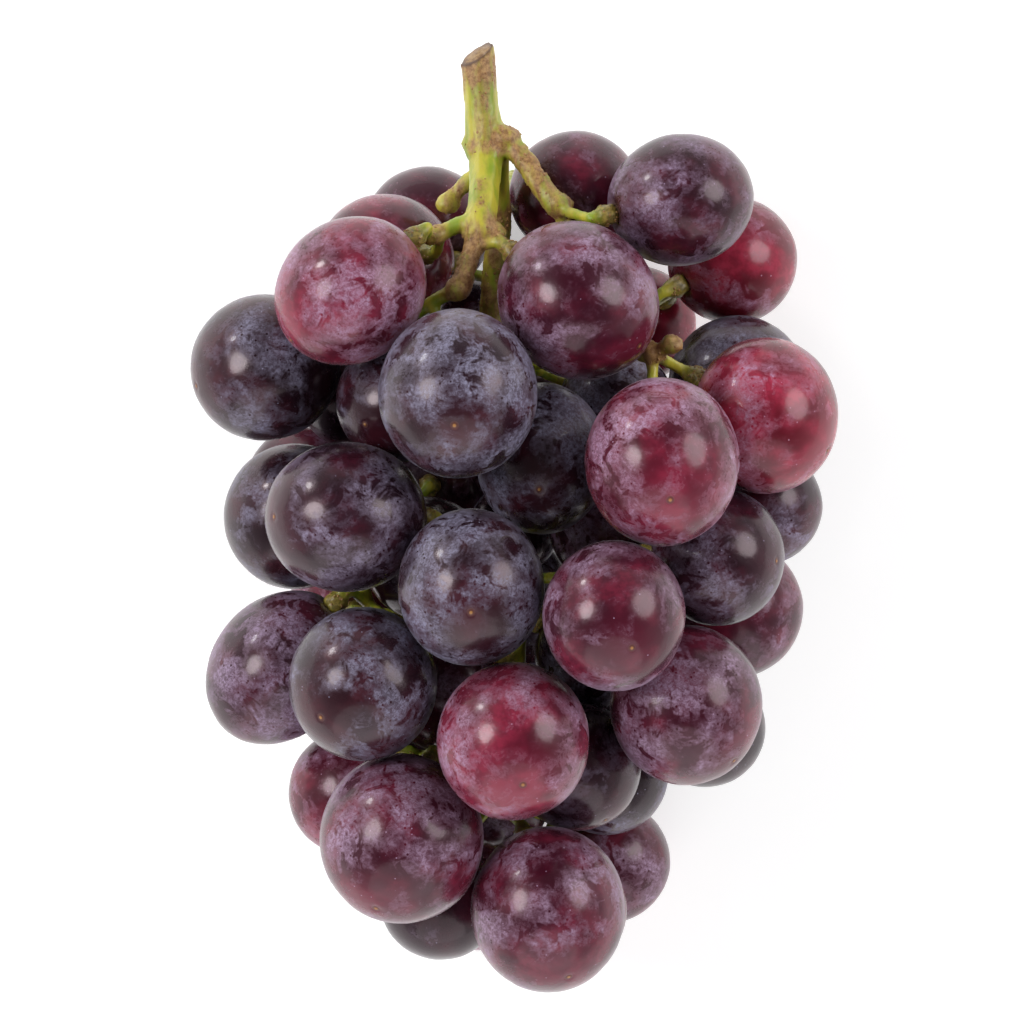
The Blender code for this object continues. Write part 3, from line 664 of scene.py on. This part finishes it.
def bark_form():
    """Roughens the stalk's skin and sets warts on it, thickest round the collars."""
    tree, given, result = new_form("bark_form", (
        ("Plumping", "Float"), ("Fibre height", "Float"),
        ("Knob height", "Float"), ("Crust height", "Float"),
        ("Warts per square mm", "Float"), ("Wart seed", "Int"), ("Bark", "Material"),
    ))
    place = add_node(tree, "GeometryNodeInputPosition").outputs[0]
    place_mm = vector_maths(tree, "SCALE", {0: place, "Scale": PER_MM})
    drawn_out = vector_maths(tree, "MULTIPLY", {0: place_mm, 1: FIBRE_DRAW})
    normal = add_node(tree, "GeometryNodeInputNormal").outputs[0]
    fibres = maths(tree, "SUBTRACT", noise(tree, drawn_out, *FIBRES), NOISE_MEAN)
    lift = maths(tree, "MULTIPLY", fibres, given.outputs["Fibre height"])
    lift = maths(tree, "ADD", lift, given.outputs["Plumping"])
    for mark, pattern, step, height in (
        ("knobby", KNOBS, KNOB_STEP, "Knob height"),
        ("collar", CRUST, CRUST_STEP, "Crust height"),
    ):
        marked = add_node(tree, "GeometryNodeInputNamedAttribute", {"Name": mark}, data_type="FLOAT")
        rise = fade(tree, noise(tree, place_mm, *pattern), *step)
        rise = maths(tree, "MULTIPLY", rise, given.outputs[height])
        lift = maths(tree, "ADD", lift, maths(tree, "MULTIPLY", rise, marked.outputs[0]))
    lift = maths(tree, "MULTIPLY", lift, MM)
    offset = vector_maths(tree, "SCALE", {0: normal, "Scale": lift})
    shape = add_node(tree, "GeometryNodeSetPosition", {
        "Geometry": given.outputs["Geometry"], "Offset": offset,
    }).outputs[0]
    density = maths(tree, "MULTIPLY", given.outputs["Warts per square mm"], PER_MM * PER_MM)
    warty = add_node(tree, "GeometryNodeInputNamedAttribute", {"Name": "wartiness"}, data_type="FLOAT")
    points = add_node(tree, "GeometryNodeDistributePointsOnFaces", {
        "Mesh": shape, "Density": maths(tree, "MULTIPLY", density, warty.outputs[0]),
        "Seed": given.outputs["Wart seed"],
    }, distribute_method="RANDOM")
    wart = add_node(tree, "GeometryNodeMeshIcoSphere", {
        "Radius": MM, "Subdivisions": WART_ROUNDNESS,
    }).outputs[0]
    size = add_node(tree, "FunctionNodeRandomValue", {
        0: WART_LEAST, 1: WART_MOST, "Seed": given.outputs["Wart seed"],
    }, data_type="FLOAT_VECTOR").outputs[0]
    warts = add_node(tree, "GeometryNodeInstanceOnPoints", {
        "Points": points.outputs["Points"], "Instance": wart,
        "Rotation": points.outputs["Rotation"], "Scale": size,
    }).outputs[0]
    warts = add_node(tree, "GeometryNodeRealizeInstances", {"Geometry": warts}).outputs[0]
    warts = add_node(tree, "GeometryNodeStoreNamedAttribute", {
        "Geometry": warts, "Name": "wart", "Value": 1.0,
    }, data_type="FLOAT", domain="POINT").outputs[0]
    joined = add_node(tree, "GeometryNodeJoinGeometry")
    tree.links.new(warts, joined.inputs[0])
    tree.links.new(shape, joined.inputs[0])
    end_form(tree, result, joined.outputs[0], given.outputs["Bark"])
    return tree


def distance_to_stretch(places, start, end):
    """How far each place lies from the straight line between two points."""
    start, end = np.array(start), np.array(end)
    way = end - start
    share = np.clip((places - start) @ way / (way @ way), 0.0, 1.0)
    return np.linalg.norm(places - start - share[:, None] * way, axis=1)


def store_values(mesh, name, values):
    """Keeps one number for each point of the mesh."""
    attribute = mesh.attributes.new(name, "FLOAT", "POINT")
    attribute.data.foreach_set("value", values.astype(np.float32))


def mark_stalk(mesh, ellipsoids):
    """Stores how corky, how knobby, how warty and how freshly cut each part of the stalk is."""
    places = np.zeros(len(mesh.vertices) * 3, np.float32)
    mesh.vertices.foreach_get("co", places)
    places = places.reshape(-1, 3) * PER_MM
    corky = np.zeros(len(places))
    for start, end, spread, share in CORKY_STRETCHES:
        near = np.clip(CORKY_FADE - distance_to_stretch(places, start, end) / spread, 0.0, 1.0)
        corky = np.maximum(corky, near * share)
    collar = np.zeros(len(places))
    for ellipsoid in ellipsoids:
        middle = ellipsoid.stalk_end() + ellipsoid.stalk_way() * COLLAR_LIFT
        distance = np.linalg.norm(places - middle, axis=1)
        collar = np.maximum(collar, np.clip(COLLAR_FADE - distance / COLLAR_SPREAD, 0.0, 1.0))
    cut_depth = (places - np.array(CUT_AT)) @ np.array(CUT_NORMAL) / np.linalg.norm(CUT_NORMAL)
    cut = np.clip(1.0 + (cut_depth + CUT_TRIM + CUT_SKIN) / CUT_SKIN_FADE, 0.0, 1.0)
    store_values(mesh, "corky", corky)
    store_values(mesh, "knobby", np.where(places[:, 1] < KNOBS_BELOW_Y, corky, 0.0))
    store_values(mesh, "collar", collar)
    store_values(mesh, "cut", cut)
    store_values(mesh, "wartiness", np.maximum(collar, corky * CORKY_WARTS) * (1 - cut))


def bark_material():
    """Yellow-green stalk skin with tan corky streaks, brown collars and warts, and a dry cut face."""
    material, tree, shader, place = new_material("stalk_bark")
    drawn_out = vector_maths(tree, "MULTIPLY", {0: place, 1: STREAK_DRAW})
    marks = {}
    for name in ("corky", "collar", "cut", "wart"):
        marks[name] = add_node(tree, "ShaderNodeAttribute", attribute_name=name).outputs["Fac"]
    green = clouded(tree, drawn_out, GREEN_CLOUDS, GREEN_STEP, GREENS)
    streaks = noise(tree, drawn_out, *STREAKS)
    cork = maths(tree, "ADD", maths(tree, "MULTIPLY", marks["corky"], CORK_SHARE), streaks)
    cork = fade(tree, cork, *CORK_STEP)
    colour = blend_colours(tree, cork, green, clouded(tree, place, TAN_CLOUDS, TAN_STEP, TANS))
    collar_tone = clouded(tree, place, COLLAR_CLOUDS, COLLAR_STEP, COLLAR_BROWNS)
    collar = maths(tree, "MULTIPLY", marks["collar"], COLLAR_SHARE)
    colour = blend_colours(tree, collar, colour, collar_tone)
    wart = maths(tree, "MULTIPLY", marks["wart"], WART_SHARE)
    colour = blend_colours(tree, wart, colour, WART_BROWN)
    face = clouded(tree, place, FACE_CLOUDS, FACE_STEP, FACE_TANS)
    from_middle = vector_maths(tree, "LENGTH", {
        0: vector_maths(tree, "SUBTRACT", {0: place, 1: CUT_AT}),
    })
    rim = fade(tree, from_middle, *CUT_RIM_STEP)
    face = blend_colours(tree, rim, face, CUT_RIM_BROWN)
    colour = blend_colours(tree, marks["cut"], colour, face)
    roughness = maths(tree, "ADD", maths(tree, "MULTIPLY", cork, CORK_ROUGHNESS), BARK_ROUGHNESS)
    grain = noise(tree, drawn_out, *BARK_GRAIN)
    finish_shader(
        tree, shader, colour, roughness, grain, BARK_GRAIN_STRENGTH, BARK_GRAIN_DEPTH, BARK_SHADER
    )
    return material


def trim_cut(mesh):
    """Cuts the stalk's top off again, which makes the cut's rim crisp."""
    cage = bmesh.new()
    cage.from_mesh(mesh)
    way = Vector(CUT_NORMAL).normalized()
    cut = bmesh.ops.bisect_plane(
        cage, geom=cage.verts[:] + cage.edges[:] + cage.faces[:], dist=CUT_TOLERANCE,
        plane_co=(Vector(CUT_AT) - way * CUT_TRIM) * MM, plane_no=way, clear_outer=True,
    )
    rim = [item for item in cut["geom_cut"] if isinstance(item, bmesh.types.BMEdge)]
    bmesh.ops.edgeloop_fill(cage, edges=rim)
    bmesh.ops.recalc_face_normals(cage, faces=cage.faces)
    cage.to_mesh(mesh)
    cage.free()


def grow_stalk(ellipsoids):
    """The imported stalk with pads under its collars, made round and fine, then roughened."""
    cage = merged_copy("stalk")
    add_seats(cage, ellipsoids)
    add_swellings(cage)
    mesh = bpy.data.meshes.new("fine_stalk")
    cage.to_mesh(mesh)
    cage.free()
    stalk = new_piece("fine_stalk", mesh)
    remesh = stalk.modifiers.new("one_skin", "REMESH")
    remesh.mode = "VOXEL"
    remesh.voxel_size = STALK_VOXEL * MM
    smooth = stalk.modifiers.new("round_off", "SMOOTH")
    smooth.iterations = STALK_SMOOTHING
    bake(stalk)
    trim_cut(stalk.data)
    mark_stalk(stalk.data, ellipsoids)
    use_form(stalk, bark_form(), {
        "Plumping": STALK_PLUMPING, "Fibre height": FIBRE_HEIGHT,
        "Knob height": KNOB_HEIGHT, "Crust height": CRUST_HEIGHT,
        "Warts per square mm": WARTS_PER_SQUARE_MM, "Wart seed": WART_SEED,
        "Bark": bark_material(),
    })
    bake(stalk)
    stalk.data.set_sharp_from_angle(angle=SHARP_ANGLE)
    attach(stalk, "root")
    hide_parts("stalk")


def lay_table():
    """The plain pale table that the bunch lies on."""
    mesh = bpy.data.meshes.new("table_top")
    cage = bmesh.new()
    bmesh.ops.create_grid(cage, x_segments=1, y_segments=1, size=TABLE_REACH)
    cage.to_mesh(mesh)
    cage.free()
    table = new_piece("table_top", mesh)
    table.location.z = -TABLE_DROP * MM
    material = bpy.data.materials.new("table_white")
    material.use_nodes = True
    set_shader(material.node_tree.nodes["Principled BSDF"], TABLE_SHADER)
    mesh.materials.append(material)


def hang_softbox(name, way, distance, width, brightness):
    """A round soft light that faces the bunch from this way."""
    light = bpy.data.lights.new(name, "AREA")
    light.shape = "DISK"
    light.size = width
    area = math.pi * width * width / 4
    light.energy = brightness * math.pi * area
    lamp = bpy.data.objects.new(name, light)
    bpy.context.scene.collection.objects.link(lamp)
    aim = Vector(way).normalized()
    lamp.location = Vector((0.0, 0.0, FOCUS_HEIGHT * MM)) + aim * distance
    lamp.rotation_mode = "QUATERNION"
    lamp.rotation_quaternion = aim.to_track_quat("Z", "Y")


def light_studio():
    """A room that is white near the table and dark overhead, and four soft lights."""
    world = bpy.data.worlds.new("studio")
    world.use_nodes = True
    tree = world.node_tree
    way = add_node(tree, "ShaderNodeTexCoord").outputs["Generated"]
    height = add_node(tree, "ShaderNodeSeparateXYZ", {0: way}).outputs[2]
    strength = fade(tree, height, *ROOM_STEP)
    backdrop = tree.nodes["Background"]
    backdrop.inputs["Color"].default_value = ROOM_COLOUR
    tree.links.new(strength, backdrop.inputs["Strength"])
    bpy.context.scene.world = world
    for softbox in SOFTBOXES:
        hang_softbox(*softbox)


def place_camera():
    """The camera over the bunch, far enough away that nothing is drawn out of shape."""
    camera = bpy.data.cameras.new("camera")
    camera.sensor_width = SENSOR_WIDTH
    camera.lens = SENSOR_WIDTH * CAMERA_HEIGHT / FRAME_WIDTH
    camera.clip_end = CAMERA_REACH
    stand = bpy.data.objects.new("camera", camera)
    bpy.context.scene.collection.objects.link(stand)
    x, y = FRAME_MIDDLE
    stand.location = Vector((x, y, FOCUS_HEIGHT + CAMERA_HEIGHT)) * MM
    bpy.context.scene.camera = stand


place_camera()
light_studio()
lay_table()
bpy.context.scene.view_settings.view_transform = "Standard"
grow_stalk(grow_grapes())
